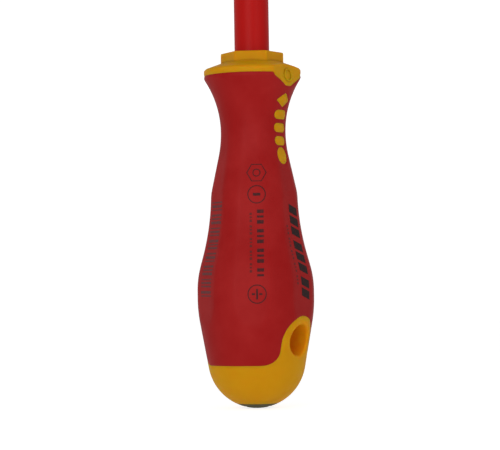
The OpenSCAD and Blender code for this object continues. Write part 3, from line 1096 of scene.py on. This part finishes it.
def build_handle():
    uv, tris, area, borders = handle_map()
    theta, z = uv[:, 0] / MAP_R, uv[:, 1]
    radius = surface_r(theta, z)
    radius -= groove(place(theta, z, radius), borders)
    outer = place(theta, z, radius)
    under_r = np.minimum(ridge_r(z) - SKIN_T, radius - 0.5)
    tris = weld_seam(uv, tris)
    amber, red = hard_amber(), soft_red()
    paint(grip_mesh(outer, place(theta, z, under_r), tris, area), red)
    paint(body_mesh(outer, place(theta, z, under_r - SKIN_GAP), tris, area), amber)
    for side, name in zip(SIDES, ("front", "back")):
        paint(shield_ring(side, "shield_ring_" + name), amber)
    paint(plug_mesh(), plain_plastic("plug_grey_plastic", (0.080, 0.070, 0.026),
                                     (0.095, 0.084, 0.034), 0.5))


def build_blade():
    paint(sleeve_mesh(), sleeve_red())
    paint(frame["nodes"]["blade"], blade_steel())
    paint(frame["nodes"]["handle_core"],
          plain_plastic("core_grey_plastic", (0.09, 0.095, 0.105), (0.11, 0.115, 0.12), 0.5))


# ---------------------------------------------------------------- stage, light and camera

VIEW_AZ = math.radians(-56.8)
VIEW_DISTANCE, VIEW_HEIGHT = 690.0, 42.5
AIM_Z, AIM_SHIFT = 60.5, -1.56
VIEW_ROLL = math.radians(-0.93)
LENS, SENSOR = 150, 36
STAGE_SIZE, STAGE_BEND = 3000.0, 500.0
LIGHT_AIM_Z = 60
# The floor's glow on the tool and to the camera; the world's light low down, overhead and
# to the camera.
FLOOR_LIGHT, FLOOR_GLOW = 0.4, 0.8
WORLD_LIGHT, WORLD_OVERHEAD, WORLD_SEEN = 0.62, 0.32, 1.0


def build_stage():
    """A pale sweep: the floor runs into a wall a long way behind the tool."""
    size, bend = STAGE_SIZE, STAGE_BEND
    profile = [(-size, 0), (size - bend, 0)]
    profile += [(size - bend + bend * math.sin(a), bend * (1 - math.cos(a)))
                for a in np.linspace(0.1, PI / 2, 12)]
    profile.append((size, size))
    cos_view, sin_view = math.cos(VIEW_AZ), math.sin(VIEW_AZ)
    rows = [(across * cos_view - along * sin_view, across * sin_view + along * cos_view, up)
            for along, up in profile for across in (-size, size)]
    faces = [(2 * i, 2 * i + 1, 2 * i + 3, 2 * i + 2) for i in range(len(profile) - 1)]
    mesh = bpy.data.meshes.new("sweep")
    mesh.from_pydata([tuple(c * MM for c in p) for p in rows], [], faces)
    mesh.shade_smooth()
    floor = bpy.data.objects.new("sweep", mesh)
    bpy.context.scene.collection.objects.link(floor)
    paint(floor, floor_material())


def soft_light(name, azimuth, height, distance, size, power):
    """A square light round the tool; azimuth is measured from the camera's side."""
    light = bpy.data.lights.new(name, "AREA")
    light.size = size * MM
    light.energy = power
    lamp = bpy.data.objects.new(name, light)
    a = VIEW_AZ + math.radians(azimuth)
    lamp.location = Vector((math.sin(a) * distance, -math.cos(a) * distance, height)) * MM
    bpy.context.scene.collection.objects.link(lamp)
    target = Vector((0, 0, LIGHT_AIM_Z)) * MM
    lamp.rotation_euler = (target - lamp.location).to_track_quat("-Z", "Y").to_euler()


def build_lights():
    """Soft white light from all round, weaker from overhead, with two lights at the front."""
    world = bpy.data.worlds.new("soft_white")
    world.use_nodes = True
    nodes, links = world.node_tree.nodes, world.node_tree.links
    path = nodes.new("ShaderNodeLightPath")
    coords = nodes.new("ShaderNodeTexCoord")
    parts = nodes.new("ShaderNodeSeparateXYZ")
    links.new(coords.outputs["Generated"], parts.inputs["Vector"])
    light = remap(nodes, links, parts.outputs["Z"], 0.1, 0.9, WORLD_LIGHT, WORLD_OVERHEAD)
    seen = nodes.new("ShaderNodeMix")
    links.new(path.outputs["Is Camera Ray"], seen.inputs["Factor"])
    links.new(light, seen.inputs["A"])
    seen.inputs["B"].default_value = WORLD_SEEN
    nodes["Background"].inputs["Color"].default_value = (1, 1, 1, 1)
    links.new(seen.outputs["Result"], nodes["Background"].inputs["Strength"])
    bpy.context.scene.world = world
    soft_light("key", azimuth=-20, height=240, distance=900, size=500, power=2.75)
    soft_light("fill", azimuth=35, height=150, distance=900, size=500, power=1.4)


def build_camera():
    data = bpy.data.cameras.new("camera")
    data.sensor_width = SENSOR
    data.lens = LENS
    data.clip_start, data.clip_end = 0.02, 20
    camera = bpy.data.objects.new("camera", data)
    bpy.context.scene.collection.objects.link(camera)
    back = Vector((math.sin(VIEW_AZ), -math.cos(VIEW_AZ), 0))
    right = Vector((math.cos(VIEW_AZ), math.sin(VIEW_AZ), 0))
    camera.location = (back * VIEW_DISTANCE + right * AIM_SHIFT
                       + Vector((0, 0, VIEW_HEIGHT))) * MM
    target = (right * AIM_SHIFT + Vector((0, 0, AIM_Z))) * MM
    turn = (target - camera.location).to_track_quat("-Z", "Y").to_matrix()
    camera.rotation_euler = (turn @ Matrix.Rotation(VIEW_ROLL, 3, "Z")).to_euler()
    bpy.context.scene.camera = camera


build_handle()
build_prints()
build_blade()
build_stage()
build_lights()
build_camera()
bpy.context.scene.view_settings.view_transform = "Standard"
